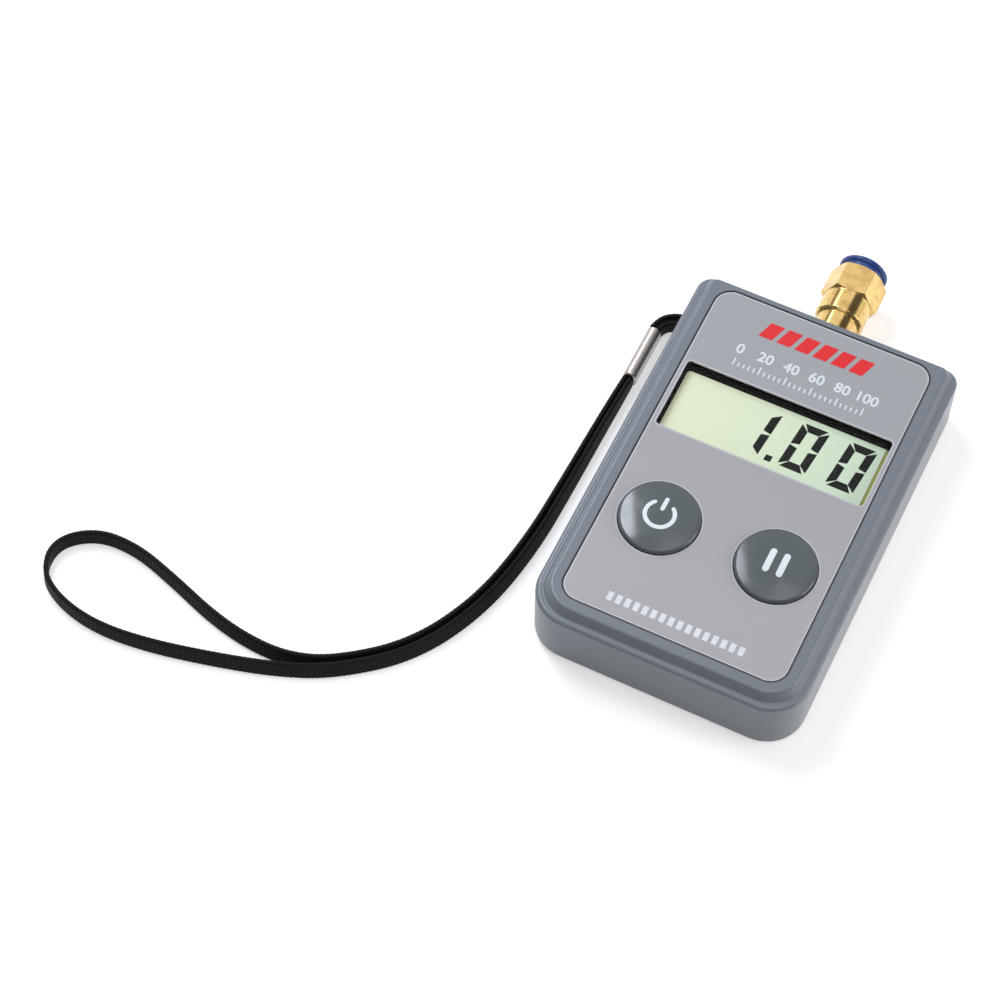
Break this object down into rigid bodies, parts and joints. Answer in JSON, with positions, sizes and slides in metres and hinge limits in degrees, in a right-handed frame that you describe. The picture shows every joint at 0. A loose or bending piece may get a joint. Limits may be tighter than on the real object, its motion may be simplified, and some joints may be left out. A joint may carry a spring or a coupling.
{
  "type": "digital pressure gauge",
  "caption": "Hand-held digital pressure gauge with a recessed display, domed round keys, a brass push-in tube fitting and a black wrist strap.",
  "frame": {"origin": "centre of the case's back face, on which the gauge lies", "axes": "+X to the right as the face is read, +Y along the case towards the tube fitting, +Z out of the face"},
  "size_m": [0.1684, 0.1586, 0.0205],
  "materials": {
    "case_plastic": "satin slate grey, fine grain",
    "back_plastic": "satin slate grey, fine grain",
    "key_plastic": "gloss dark grey with pale print",
    "panel_sheet": "satin silver-grey sheet with printed marks",
    "bezel_black": "matte black",
    "window_clear": "clear",
    "display_glass": "pale green-grey reflective display",
    "holder_plastic": "white, satin",
    "zebra_rubber": "layered conductive rubber",
    "board_laminate": "green solder mask",
    "part_black": "moulded black",
    "can_steel": "drawn steel can",
    "plunger_red": "red acetal",
    "sensor_ceramic": "off-white moulded sensor",
    "silicone": "milky silicone",
    "brass_bright": "bright turned brass",
    "seal_rubber": "black nitrile",
    "ring_plastic": "navy, gloss",
    "screw_steel": "zinc-plated steel",
    "contact_nickel": "nickel-plated spring strip",
    "cell_jacket": "printed metal jacket, plain fields",
    "strap_weave": "black braided flat cord",
    "ferrule_metal": "bright crimped metal"
  },
  "bodies": {
    "gauge": {"front_shell": "case_plastic", "rear_shell": "back_plastic", "case_screws": "screw_steel", "face_panel": "panel_sheet", "display_bezel": "bezel_black", "display_window": "window_clear", "lcd_cell": "display_glass", "lcd_holder": "holder_plastic", "zebra_strip": "zebra_rubber", "power_switch": "part_black", "hold_switch": "part_black", "circuit_board": "board_laminate", "board_screws": "screw_steel", "control_chip": "part_black", "clock_crystal": "can_steel", "smoothing_capacitor": "part_black", "pressure_sensor": "sensor_ceramic", "sensor_tube": "silicone", "fitting_body": "brass_bright", "fitting_nut": "brass_bright", "wall_seal": "seal_rubber", "tube_seal": "seal_rubber", "grip_collet": "contact_nickel", "guide_ring": "brass_bright", "battery_cell_1": "cell_jacket", "battery_cell_2": "cell_jacket", "contact_link": "contact_nickel", "contact_positive": "contact_nickel", "contact_negative": "contact_nickel", "strap_pin": "screw_steel", "strap_ferrule": "ferrule_metal", "anchor_loop": "strap_weave", "hand_strap": "strap_weave"},
    "power_key": {"power_key": "key_plastic", "power_plunger": "plunger_red"},
    "hold_key": {"hold_key": "key_plastic", "hold_plunger": "plunger_red"},
    "release_ring": {"release_ring": "ring_plastic"},
    "battery_cover": {"battery_cover": "back_plastic"}
  },
  "joints": [
    {"name": "power_press", "type": "slide", "parent": "gauge", "child": "power_key", "axis": [0, 0, -1], "range_m": [0, 0.0005], "stiffness_N_per_m": 3000},
    {"name": "hold_press", "type": "slide", "parent": "gauge", "child": "hold_key", "axis": [0, 0, -1], "range_m": [0, 0.0005], "stiffness_N_per_m": 3000},
    {"name": "release_push", "type": "slide", "parent": "gauge", "child": "release_ring", "axis": [0, -1, 0], "range_m": [0, 0.0007], "stiffness_N_per_m": 2500},
    {"name": "cover_swing", "type": "hinge", "parent": "gauge", "child": "battery_cover", "pos_m": [0, -0.04555, 0], "axis": [-1, 0, 0], "range_deg": [0, 30]}
  ]
}
